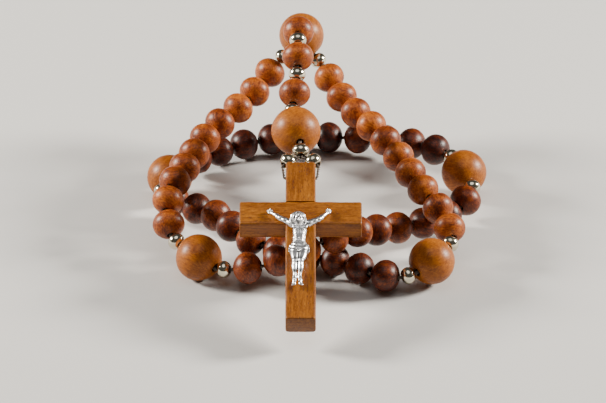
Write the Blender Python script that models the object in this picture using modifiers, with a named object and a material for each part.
"""Five-decade wooden rosary, standing in a loose double coil with its crucifix laid over the front.

+Z is up and +Y points away from the crucifix's foot. The ring of beads leaves the centre bead at the
back, comes down the right side, crosses the front, goes once round on the table, crosses the front
again and climbs the left side back to the centre bead. The drop with the crucifix arches forwards
from the centre bead. Every bead is threaded on the cord, so each one is placed along a smooth route.
"""

import math

import bmesh
import bpy
from mathutils import Matrix, Vector

MM = 0.001

# Driving dimensions, in millimetres until they meet MM.
SMALL_LENGTH, SMALL_RADIUS = 7.6, 4.25
LARGE_LENGTH, LARGE_RADIUS = 12.0, 6.1
DROP_LARGE_LENGTH, DROP_LARGE_RADIUS = 12.8, 6.5
SPACER_LENGTH, SPACER_RADIUS = 3.9, 2.25
BORE_RADIUS = 0.95
CORD_RADIUS = 0.5
BAIL_CORD_RADIUS = 0.38
FLEX_SLACK = 0.5            # extra room between two beads where the drop bends
LOOSE_SLACK = 0.19          # extra room between the beads of decade four, which hangs looser
NECK_RADIUS = 1.4           # sleeve that joins the beads of one run
TOUCH_GAP = 0.3

# Crucifix: two bars half-lapped into each other, with a chamfer on every long edge.
BAR_WIDTH = 7.7
BAR_THICKNESS = 5.6
UPRIGHT_LENGTH = 52.5
CROSSBAR_LENGTH = 31.3
CROSSBAR_BELOW_TOP = 13.5
CROSS_TILT = math.radians(20.1)
CROSS_FOOT = Vector((-0.6, -23.9, 4.3))
SIDE_HOLE_BELOW_TOP = 3.5
SIDE_HOLE_RADIUS = 0.9
BAR_CHAMFER = 0.45
NOTCH_OVERRUN = 2.0          # how far a cutter passes the side it comes out of
BAIL_ABOVE_TOP = 8.5         # where the drop's cord ends and the bail begins, above the upright's end

# Routes of the cords, through points chosen by hand, in millimetres.
RIGHT_STRAND = [(3.7, 87.8, 24.8), (7.5, 83, 20.5), (12.3, 72.5, 17.8), (19.3, 61.5, 17),
                (25.8, 47.5, 15.2), (31.8, 33.3, 13.2), (39, 20, 9)]
FRONT_FROM_RIGHT = [(34, 7.9, 6.5), (28.5, 4.3, 5.2), (24.3, 3.5, 4.5), (18, 5.4, 4.5), (13.5, 9, 4.5),
                    (8, 15, 4), (-1.5, 14.5, 4.5), (-8.5, 15.5, 6.5), (-15, 19.5, 7), (-19.5, 26, 8.5),
                    (-27, 37.5, 6), (-33, 40.2, 6.1), (-37.1, 45.2, 6.2)]
BACK_ARC = [(-37.5, 49.3, 6.2), (-36.3, 55.5, 6.2), (-31, 63.7, 5.8), (-22.3, 72.8, 4.5), (-7.5, 79.8, 4.5),
            (8.3, 80.3, 4.5), (23.8, 75.7, 6), (37.3, 66.6, 7.5), (43.8, 55, 6.5)]
FRONT_FROM_LEFT = [(44.2, 44, 6.5), (37.3, 35.5, 4.5), (23, 26, 6.4), (13, 14.5, 12), (6, 10, 12),
                   (-1.5, 6.7, 10.3), (-9, 6, 6.8), (-23, 8.2, 4.5), (-29.2, 13.9, 6.2)]
LEFT_STRAND = [(-34.7, 19.8, 8.3), (-35.5, 24.8, 10.8), (-34.9, 32.5, 14.2), (-29.9, 48.5, 14.4),
               (-24.8, 62.8, 15.5), (-14.9, 75.6, 18.3), (-8.7, 86, 21.8), (-4.8, 89.4, 25.1)]
CENTRE = (-0.4, 89.3, 30.9)
DROP_ROUTE = [(-0.8, 85.1, 35), (-1.2, 79.4, 38), (-1.3, 74, 39.1), (-1.4, 69.8, 38.7),
              (-1.2, 64.5, 36.7), (-1.6, 58.7, 34), (-2.3, 53, 31.3), (-3, 46, 28.2), (-2.3, 39.3, 27.9)]

# Figure on the crucifix: (x, height above the foot, radius across, radius deep), in millimetres.
FIGURE_SPINE = [(-0.3, 21.6, 2.4, 1.3), (-0.5, 24.2, 1.5, 1.2), (-0.3, 27.9, 2.0, 1.3),
                (-0.5, 29.4, 1.1, 1.1), (-0.6, 30.9, 1.8, 1.6)]
FIGURE_LEGS = [(-0.8, 16.9, 1.6, 1.3), (-0.8, 12.9, 1.3, 1.0), (-0.8, 10.9, 1.6, 1.1)]
FIGURE_LEFT_ARM = [(-2.6, 29.6, 0.9, 0.9), (-5.3, 31.9, 0.8, 0.8), (-7.7, 34.7, 0.7, 0.7)]
FIGURE_RIGHT_ARM = [(2.0, 29.6, 0.9, 0.9), (4.6, 31.4, 0.8, 0.8), (7.0, 34.8, 0.7, 0.7)]
FIGURE_DEPTH = 1.95         # height of the figure's middle above the crucifix's face


# ---------------------------------------------------------------- scene, materials and helpers

def clear_scene():
    for old in list(bpy.data.objects):
        bpy.data.objects.remove(old, do_unlink=True)


def new_collection(name):
    collection = bpy.data.collections.new(name)
    bpy.context.scene.collection.children.link(collection)
    return collection


def make_material(name, colour, roughness, metallic=0.0):
    material = bpy.data.materials.new(name)
    material.use_nodes = True
    shader = material.node_tree.nodes["Principled BSDF"]
    shader.inputs["Base Color"].default_value = (*colour, 1.0)
    shader.inputs["Roughness"].default_value = roughness
    shader.inputs["Metallic"].default_value = metallic
    material.diffuse_color = (*colour, 1.0)
    return material


LOOKS = {
    "small": ((0.28, 0.10, 0.04), 0.35, 0.0),
    "large": ((0.48, 0.24, 0.08), 0.40, 0.0),
    "cross": ((0.45, 0.20, 0.06), 0.45, 0.0),
    "metal": ((0.80, 0.77, 0.68), 0.12, 1.0),
    "figure": ((0.82, 0.82, 0.82), 0.15, 1.0),
    "cord": ((0.16, 0.12, 0.09), 0.80, 0.0),
}


class Workshop:
    """Holds the two collections and the parent of everything, and hands out finished objects."""

    def __init__(self):
        self.parts = new_collection("rosary")
        self.cutters = new_collection("cutters")
        self.root = bpy.data.objects.new("rosary_origin", None)
        self.parts.objects.link(self.root)

    def add(self, name, data, look, parent=None):
        item = bpy.data.objects.new(name, data)
        self.parts.objects.link(item)
        item.parent = parent or self.root
        item.data.materials.clear()
        item.data.materials.append(make_material(name, *LOOKS[look]))
        return item

    def add_cutter(self, name, data, parent=None):
        item = bpy.data.objects.new(name, data)
        self.cutters.objects.link(item)
        item.parent = parent or self.root
        item.hide_render = True
        item.display_type = "WIRE"
        return item

    def cut(self, item, cutter):
        boolean = item.modifiers.new(cutter.name, "BOOLEAN")
        boolean.operation = "DIFFERENCE"
        boolean.solver = "EXACT"
        boolean.object = cutter


def smooth(mesh, angle=40):
    mesh.shade_smooth()
    mesh.set_sharp_from_angle(angle=math.radians(angle))


def mesh_from_bmesh(name, bm):
    bmesh.ops.recalc_face_normals(bm, faces=bm.faces)
    mesh = bpy.data.meshes.new(name)
    bm.to_mesh(mesh)
    bm.free()
    return mesh


def box_mesh(name, size):
    bm = bmesh.new()
    bmesh.ops.create_cube(bm, size=1.0, matrix=Matrix.Diagonal((*(Vector(size) * MM), 1.0)))
    return mesh_from_bmesh(name, bm)


def cylinder_mesh(name, radius, length, sides=12):
    bm = bmesh.new()
    bmesh.ops.create_cone(bm, cap_ends=True, segments=sides, radius1=radius * MM, radius2=radius * MM,
                          depth=length * MM)
    return mesh_from_bmesh(name, bm)


def sphere_mesh(name, radius, sides=16, rings=10):
    bm = bmesh.new()
    bmesh.ops.create_uvsphere(bm, u_segments=sides, v_segments=rings, radius=radius * MM)
    return mesh_from_bmesh(name, bm)


def tube_curve(name, points, radius, point_radii=None, closed=False, resolution=2):
    """A POLY curve with a round section through points given in millimetres."""
    curve = bpy.data.curves.new(name, "CURVE")
    curve.dimensions = "3D"
    curve.bevel_depth = radius * MM
    curve.bevel_resolution = resolution
    curve.use_fill_caps = True
    spline = curve.splines.new("POLY")
    spline.points.add(len(points) - 1)
    for index, point in enumerate(points):
        spline.points[index].co = (*(Vector(point) * MM), 1.0)
        spline.points[index].radius = point_radii[index] / radius if point_radii else 1.0
    spline.use_cyclic_u = closed
    return curve


def curve_to_mesh(workshop, name, curve):
    """The tube as a mesh with its caps welded, so that it can take a Boolean."""
    holder = bpy.data.objects.new(name + "_curve", curve)
    workshop.cutters.objects.link(holder)
    bpy.context.view_layer.update()
    mesh = bpy.data.meshes.new_from_object(holder.evaluated_get(bpy.context.evaluated_depsgraph_get()))
    bpy.data.objects.remove(holder)
    bm = bmesh.new()
    bm.from_mesh(mesh)
    bmesh.ops.remove_doubles(bm, verts=bm.verts, dist=1e-7)
    bmesh.ops.recalc_face_normals(bm, faces=bm.faces)
    bm.to_mesh(mesh)
    bm.free()
    mesh.name = name
    return mesh


# ---------------------------------------------------------------- the string of beads

def smooth_route(points, steps=16):
    """Points along a Catmull-Rom curve through the given ones."""
    knots = [Vector(point) for point in points]
    knots = [2 * knots[0] - knots[1]] + knots + [2 * knots[-1] - knots[-2]]
    line = []
    for a, b, c, d in zip(knots, knots[1:], knots[2:], knots[3:]):
        for step in range(steps):
            t = step / steps
            line.append(0.5 * (2 * b + (c - a) * t + (2 * a - 5 * b + 4 * c - d) * t ** 2
                               + (3 * b - a - 3 * c + d) * t ** 3))
    line.append(knots[-2])
    return line


OVERSHOOT = 50.0            # steps past the route's end that a string too long for it may run on
WIDEST_GAP = 1.5            # mm


def step_along(line, start, origin, chord):
    """The next place on the line, past index start, that lies one chord away from origin."""
    index = start
    while index < len(line) - 1 and (line[index] - origin).length < chord:
        index += 1
    before, after = line[index - 1], line[index]
    low, high = 0.0, 1.0
    if index == len(line) - 1 and (after - origin).length < chord:
        high = OVERSHOOT
    for _ in range(40):
        middle = (low + high) / 2
        if (before.lerp(after, middle) - origin).length < chord:
            low = middle
        else:
            high = middle
    return index, before.lerp(after, high)


def walk_route(line, chords):
    contacts = [line[0]]
    index = 1
    for chord in chords:
        index, contact = step_along(line, index, contacts[-1], chord)
        contacts.append(contact)
    return contacts


def string_beads(route, beads, slacks, first_reach, last_reach):
    """Thread beads along a route, sharing what is left of its length between them as equal gaps.

    beads are the lengths in order, slacks the extra room at each meeting, one more than the beads.
    first_reach and last_reach are how far the pieces at the two ends reach along the cord.
    Returns the meeting points, one more than the beads, and the gap at each of them.
    """
    line = smooth_route(route)
    low, high = 0.0, WIDEST_GAP
    for _ in range(30):
        gap = (low + high) / 2
        gaps = [gap + slack for slack in slacks]
        chords = [first_reach + gaps[0] / 2]
        chords += [length + (before + after) / 2 for length, before, after in zip(beads, gaps, gaps[1:])]
        contacts = walk_route(line, chords)
        left_over = (line[-1] - contacts[-1]).length - last_reach - gaps[-1] / 2
        past_the_end = (contacts[-1] - line[-1]).dot(line[-1] - line[-3]) > 0
        if left_over > 0 and not past_the_end:
            low = gap
        else:
            high = gap
    return contacts[1:], gaps


def bead_outline(length, radius, rim, stations):
    """(radius, height) down the outside of a rounded bead, from one rim to the other."""
    rim_angle = math.acos(rim / radius)
    outline = []
    for station in range(stations):
        angle = rim_angle * (1 - 2 * station / (stations - 1))
        outline.append((radius * math.cos(angle), length / 2 * math.sin(angle)))
    return outline


def turned_bead(name, length, radius, stations):
    """A closed profile that runs down the outside and back up the bore, for a Screw modifier."""
    outline = bead_outline(length, radius, BORE_RADIUS, stations)
    mesh = bpy.data.meshes.new(name)
    vertices = [(x * MM, 0.0, z * MM) for x, z in outline]
    edges = [(index, (index + 1) % len(vertices)) for index in range(len(vertices))]
    mesh.from_pydata(vertices, edges, [])
    return mesh


def add_screw(item, steps):
    screw = item.modifiers.new("turn", "SCREW")
    screw.axis = "Z"
    screw.steps = steps
    screw.render_steps = steps
    screw.use_merge_vertices = True
    screw.merge_threshold = 0.00001
    screw.use_smooth_shade = True


BEADS = {
    # kind: (length, radius, look, stations of the outline, sides)
    "small": (SMALL_LENGTH, SMALL_RADIUS, "small", 7, 12),
    "large": (LARGE_LENGTH, LARGE_RADIUS, "large", 9, 14),
    "drop_large": (DROP_LARGE_LENGTH, DROP_LARGE_RADIUS, "large", 9, 14),
    "spacer": (SPACER_LENGTH, SPACER_RADIUS, "metal", 6, 10),
}


def add_bead(workshop, name, kind, start, end, lead, parent=None):
    """One turned bead between two meeting points, a lead away from the first."""
    length, radius, look, stations, sides = BEADS[kind]
    direction = (end - start).normalized()
    bead = workshop.add(name, turned_bead(name, length, radius, stations), look, parent)
    bead.location = (start + direction * (lead + length / 2)) * MM
    bead.rotation_mode = "QUATERNION"
    bead.rotation_quaternion = direction.to_track_quat("Z", "Y")
    add_screw(bead, sides)
    return bead


def add_run(workshop, name, contacts, gaps):
    """Several small beads joined by short sleeves, with one bore through them all."""
    points, radii = [], []
    for index, (start, end) in enumerate(zip(contacts, contacts[1:])):
        direction = (end - start).normalized()
        middle = start + direction * (gaps[index] / 2 + SMALL_LENGTH / 2)
        if index > 0:
            points.append(start)
            radii.append(NECK_RADIUS)
        for radius, height in bead_outline(SMALL_LENGTH, SMALL_RADIUS, NECK_RADIUS, 6):
            points.append(middle - direction * height)
            radii.append(radius)
    body = curve_to_mesh(workshop, name, tube_curve(name, points, SMALL_RADIUS, radii, resolution=3))
    run = workshop.add(name, body, "small")
    first = contacts[0] + (contacts[0] - contacts[1]).normalized()
    last = contacts[-1] + (contacts[-1] - contacts[-2]).normalized()
    bore_line = [first] + contacts[1:-1] + [last]
    bore = curve_to_mesh(workshop, name + "_bore", tube_curve(name + "_bore", bore_line, BORE_RADIUS))
    workshop.cut(run, workshop.add_cutter(name + "_bore", bore))
    smooth(run.data)
    return run


# ---------------------------------------------------------------- ring, centre bead and drop

def ring_pieces():
    """Name and kind of every piece on the ring, in order from the centre bead and back to it."""
    right = [("right_bead_%02d" % number, "small") for number in range(1, 11)]
    left = [("left_bead_%02d" % number, "small") for number in range(1, 11)]
    decades = [right, [("run_two", "small")] * 10, [("run_three", "small")] * 10,
               [("run_four", "small")] * 10, left]
    pieces = []
    for index, decade in enumerate(decades):
        pieces.append(("ring_spacer_%02d" % (2 * index + 1), "spacer"))
        pieces += decade
        pieces.append(("ring_spacer_%02d" % (2 * index + 2), "spacer"))
        if index < 4:
            pieces.append(("large_bead_%d" % (index + 1), "large"))
    return pieces


def ring_slacks(pieces):
    """Extra room at each meeting of two pieces of the ring, the centre bead's at both ends."""
    names = [name for name, _ in pieces]
    between = [LOOSE_SLACK if "run_four" in pair else 0.0 for pair in zip(names, names[1:])]
    return [0.0] + between + [0.0]


def add_ring(workshop):
    pieces = ring_pieces()
    route = [CENTRE] + RIGHT_STRAND + FRONT_FROM_RIGHT + BACK_ARC + FRONT_FROM_LEFT + LEFT_STRAND + [CENTRE]
    lengths = [BEADS[kind][0] for _, kind in pieces]
    reach = LARGE_LENGTH / 2
    contacts, gaps = string_beads(route, lengths, ring_slacks(pieces), reach, reach)
    index = 0
    while index < len(pieces):
        name, kind = pieces[index]
        if name.startswith("run_"):
            for half, letter in enumerate("ab"):
                start = index + 5 * half
                add_run(workshop, name + letter, contacts[start:start + 6], gaps[start:start + 6])
            index += 10
        else:
            add_bead(workshop, name, kind, contacts[index], contacts[index + 1], gaps[index] / 2)
            index += 1
    return contacts


TURN_REACH, TURN_SIDE, TURN_BACK = 2.2, 0.6, 0.3   # the ring cord's turn inside the centre bead
CHAMBER_RADIUS = 1.9                               # where the centre bead's bores meet
BORE_DEPTH, BORE_MIDDLE = 8.0, 4.9                 # length of each, and its middle from the bead's


def add_ring_cord(workshop, contacts):
    """One closed loop of cord, which turns round inside the centre bead."""
    centre = Vector(CENTRE)
    right = (contacts[0] - centre).normalized()
    left = (contacts[-1] - centre).normalized()
    apex = -(right + left).normalized()
    turn = [centre + left * TURN_REACH, centre + left * TURN_SIDE + apex * TURN_BACK,
            centre + right * TURN_SIDE + apex * TURN_BACK, centre + right * TURN_REACH]
    curve = tube_curve("ring_cord", contacts + turn, CORD_RADIUS, closed=True)
    return workshop.add("ring_cord", curve, "cord")


def add_centre_bead(workshop, ring_contacts, drop_contact):
    """A round bead with three bores that meet in its middle."""
    centre = Vector(CENTRE)
    bead = workshop.add("centre_bead", sphere_mesh("centre_bead", LARGE_RADIUS), "large")
    bead.location = centre * MM
    bead.rotation_mode = "QUATERNION"
    bead.rotation_quaternion = (drop_contact - centre).to_track_quat("Z", "Y")
    smooth(bead.data, 60)
    chamber = workshop.add_cutter("centre_chamber", sphere_mesh("centre_chamber", CHAMBER_RADIUS, 12, 8))
    chamber.location = centre * MM
    workshop.cut(bead, chamber)
    for number, mouth in enumerate([ring_contacts[0], ring_contacts[-1], drop_contact]):
        direction = (mouth - centre).normalized()
        drill = cylinder_mesh("centre_bore", BORE_RADIUS, BORE_DEPTH)
        bore = workshop.add_cutter("centre_bore_%d" % number, drill)
        bore.location = (centre + direction * BORE_MIDDLE) * MM
        bore.rotation_mode = "QUATERNION"
        bore.rotation_quaternion = direction.to_track_quat("Z", "Y")
        workshop.cut(bead, bore)
    return bead


DROP_PIECES = [("drop_spacer_1", "spacer"), ("drop_bead_1", "small"), ("drop_spacer_2", "spacer"),
               ("drop_bead_2", "small"), ("drop_spacer_3", "spacer"), ("drop_bead_3", "small"),
               ("drop_spacer_4", "spacer"), ("drop_large_bead", "drop_large")]


def add_drop(workshop, end):
    """The short string from the centre bead to the bail; its cord is in two lengths that can bend."""
    lengths = [BEADS[kind][0] for _, kind in DROP_PIECES]
    slacks = [FLEX_SLACK] + [0.0] * 6 + [FLEX_SLACK, FLEX_SLACK]
    route = [CENTRE] + DROP_ROUTE + [tuple(end)]
    contacts, gaps = string_beads(route, lengths, slacks, LARGE_LENGTH / 2, 0.0)
    contacts[-1] = end
    for index, (name, kind) in enumerate(DROP_PIECES):
        add_bead(workshop, name, kind, contacts[index], contacts[index + 1], gaps[index] / 2)
    add_cord_between(workshop, "drop_cord", contacts[:-1])
    add_cord_between(workshop, "pendant_cord", contacts[-2:])
    return contacts


def add_cord_between(workshop, name, contacts):
    first = contacts[0] + (contacts[1] - contacts[0]).normalized() * TOUCH_GAP / 2
    last = contacts[-1] + (contacts[-2] - contacts[-1]).normalized() * TOUCH_GAP / 2
    return workshop.add(name, tube_curve(name, [first] + contacts[1:-1] + [last], CORD_RADIUS), "cord")


# ---------------------------------------------------------------- crucifix and bail

CROSS_UP = Vector((0, math.cos(CROSS_TILT), math.sin(CROSS_TILT)))
CROSS_OUT = Vector((0, -math.sin(CROSS_TILT), math.cos(CROSS_TILT)))


def side_hole_centre():
    return CROSS_FOOT + CROSS_UP * (UPRIGHT_LENGTH - SIDE_HOLE_BELOW_TOP) + CROSS_OUT * BAR_THICKNESS / 2


def on_cross(x, above_foot, above_back):
    """A point given across the crucifix, up it and out of its back, as mm from the side hole."""
    return Vector((x, above_foot - (UPRIGHT_LENGTH - SIDE_HOLE_BELOW_TOP), above_back - BAR_THICKNESS / 2))


def add_crucifix_frame(workshop):
    """An empty on the side hole's axis, with X across, Y up the upright and Z out of its face."""
    frame = bpy.data.objects.new("crucifix_axis", None)
    workshop.parts.objects.link(frame)
    frame.parent = workshop.root
    frame.location = side_hole_centre() * MM
    frame.rotation_euler = (CROSS_TILT, 0, 0)
    return frame


def add_bar(workshop, frame, name, size, place):
    bar = workshop.add(name, box_mesh(name, size), "cross", frame)
    bar.location = place * MM
    bevel = bar.modifiers.new("chamfer", "BEVEL")
    bevel.width = BAR_CHAMFER * MM
    bevel.segments = 2
    bevel.limit_method = "ANGLE"
    return bar


def add_notch(workshop, frame, bar, size, place):
    notch = workshop.add_cutter(bar.name + "_notch", box_mesh(bar.name + "_notch", size), frame)
    notch.location = place * MM
    workshop.cut(bar, notch)


def add_crucifix(workshop, frame):
    crossing = UPRIGHT_LENGTH - CROSSBAR_BELOW_TOP - BAR_WIDTH / 2
    middle = BAR_THICKNESS / 2
    upright = add_bar(workshop, frame, "upright", (BAR_WIDTH, UPRIGHT_LENGTH, BAR_THICKNESS),
                      on_cross(0, UPRIGHT_LENGTH / 2, middle))
    crossbar = add_bar(workshop, frame, "crossbar", (CROSSBAR_LENGTH, BAR_WIDTH, BAR_THICKNESS),
                       on_cross(0, crossing, middle))
    # The front half of the upright and the back half of the crossbar are cut away where they cross.
    lap = BAR_WIDTH + 2 * TOUCH_GAP
    half = BAR_THICKNESS / 2 + TOUCH_GAP / 2
    through = lap + 2 * NOTCH_OVERRUN
    add_notch(workshop, frame, upright, (through, lap, 2 * half), on_cross(0, crossing, BAR_THICKNESS))
    add_notch(workshop, frame, crossbar, (lap, through, 2 * half), on_cross(0, crossing, 0))
    drill = cylinder_mesh("side_hole", SIDE_HOLE_RADIUS, BAR_WIDTH + 2 * NOTCH_OVERRUN)
    hole = workshop.add_cutter("side_hole", drill, frame)
    hole.rotation_euler = (0, math.radians(90), 0)
    workshop.cut(upright, hole)


def add_figure(workshop, frame):
    """A plain cast figure: a skin over a line of joints."""
    chains = [FIGURE_SPINE, [FIGURE_SPINE[0]] + FIGURE_LEGS, [FIGURE_SPINE[2]] + FIGURE_LEFT_ARM,
              [FIGURE_SPINE[2]] + FIGURE_RIGHT_ARM]
    joints = []
    edges = []
    for chain in chains:
        for before, after in zip(chain, chain[1:]):
            for joint in (before, after):
                if joint not in joints:
                    joints.append(joint)
            edges.append((joints.index(before), joints.index(after)))
    places = [on_cross(x, height, BAR_THICKNESS + FIGURE_DEPTH) * MM for x, height, _, _ in joints]
    mesh = bpy.data.meshes.new("corpus")
    mesh.from_pydata(places, edges, [])
    figure = workshop.add("corpus", mesh, "figure", frame)
    skin = figure.modifiers.new("skin", "SKIN")
    skin.use_smooth_shade = True
    for index, (_, _, across, deep) in enumerate(joints):
        mesh.skin_vertices[0].data[index].radius = (across * MM, deep * MM)
    mesh.skin_vertices[0].data[0].use_root = True
    return figure


def bail_top():
    """Where the drop's own cord ends and the bail begins, above the end of the upright."""
    return on_cross(0, UPRIGHT_LENGTH + BAIL_ABOVE_TOP, BAR_THICKNESS / 2)


# One leg of the bail, from the top spacer to the side hole: (x, height above the upright's end).
BAIL_LEG = [(0.47, 8.35), (0.47, 3.85), (1.9, 4.05), (4.5, 0.95), (4.62, 0.2), (4.5, -0.8),
            (4.35, -2.3), (4.28, -2.85), (3.95, -3.35), (3.3, -3.5)]
BAIL_SPACER_START, BAIL_SPACER_END = 2, 3      # the points of the leg that its spacer sits between
BAIL_CORD_LOW = 0.3                            # how far the doubled cord hangs below its spacer


def add_bail(workshop, frame):
    """A doubled cord through one spacer, then a leg through a spacer on each side into the side hole."""
    gap = (TOUCH_GAP + FLEX_SLACK) / 2
    top = bail_top()
    below = top - Vector((0, gap + SPACER_LENGTH + BAIL_CORD_LOW, 0))
    add_bead(workshop, "drop_spacer_5", "spacer", top, below, gap, frame)
    leg = [on_cross(x, UPRIGHT_LENGTH + height, BAR_THICKNESS / 2) for x, height in BAIL_LEG]
    mirrored = [Vector((-point.x, point.y, point.z)) for point in leg]
    curve = tube_curve("bail_cord", leg + mirrored[::-1], BAIL_CORD_RADIUS)
    workshop.add("bail_cord", curve, "cord", frame)
    for name, line in (("bail_spacer_right", leg), ("bail_spacer_left", mirrored)):
        start, end = line[BAIL_SPACER_START], line[BAIL_SPACER_END]
        lead = ((end - start).length - SPACER_LENGTH) / 2
        add_bead(workshop, name, "spacer", start, end, lead, frame)


# ---------------------------------------------------------------- assembly

def stand_on_origin(workshop):
    """Move the whole so that its origin is the middle of its box, on the surface it stands on."""
    bpy.context.view_layer.update()
    depsgraph = bpy.context.evaluated_depsgraph_get()
    low = Vector((math.inf,) * 3)
    high = -low
    for item in workshop.parts.objects:
        if item.type == "EMPTY":
            continue
        evaluated = item.evaluated_get(depsgraph)
        mesh = evaluated.to_mesh()
        for vertex in mesh.vertices:
            place = evaluated.matrix_world @ vertex.co
            low = Vector(map(min, low, place))
            high = Vector(map(max, high, place))
        evaluated.to_mesh_clear()
    workshop.root.location = (-(low.x + high.x) / 2, -(low.y + high.y) / 2, -low.z)
    bpy.context.view_layer.update()


def main():
    clear_scene()
    workshop = Workshop()
    ring_contacts = add_ring(workshop)
    add_ring_cord(workshop, ring_contacts)
    frame = add_crucifix_frame(workshop)
    bpy.context.view_layer.update()
    end = (frame.matrix_world @ (bail_top() * MM)) / MM
    drop_contacts = add_drop(workshop, end)
    add_centre_bead(workshop, ring_contacts, drop_contacts[0])
    add_crucifix(workshop, frame)
    add_figure(workshop, frame)
    add_bail(workshop, frame)
    stand_on_origin(workshop)


main()
